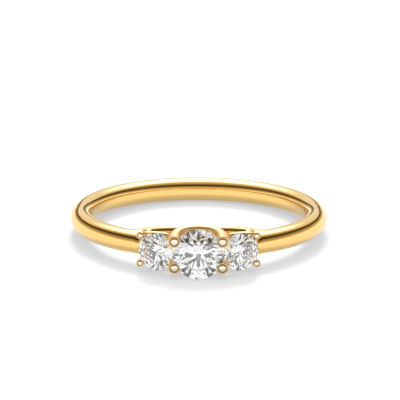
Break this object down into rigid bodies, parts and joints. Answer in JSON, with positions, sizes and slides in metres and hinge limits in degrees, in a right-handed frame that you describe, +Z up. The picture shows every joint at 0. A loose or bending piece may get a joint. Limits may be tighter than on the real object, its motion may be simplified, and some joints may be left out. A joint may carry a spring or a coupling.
{
  "type": "three stone ring",
  "caption": "Finger ring of polished round gold wire that splits behind a head of round brilliant stones in shared round prongs, lying on its side.",
  "frame": {"origin": "on the surface that the ring lies on, at the middle of its outline in X and Y", "axes": "+X along the line of the three stones, +Y from the stones to the back of the band, +Z up from the surface; the finger hole's axis leans 2.94 degrees from +Z towards +Y"},
  "size_m": [0.021, 0.0233, 0.0041],
  "materials": {
    "yellow_gold": "high polish",
    "diamond": "faceted and polished"
  },
  "bodies": {
    "root": {"ring_mount": "yellow_gold", "centre_stone": "diamond", "left_stone": "diamond", "right_stone": "diamond"}
  },
  "joints": []
}
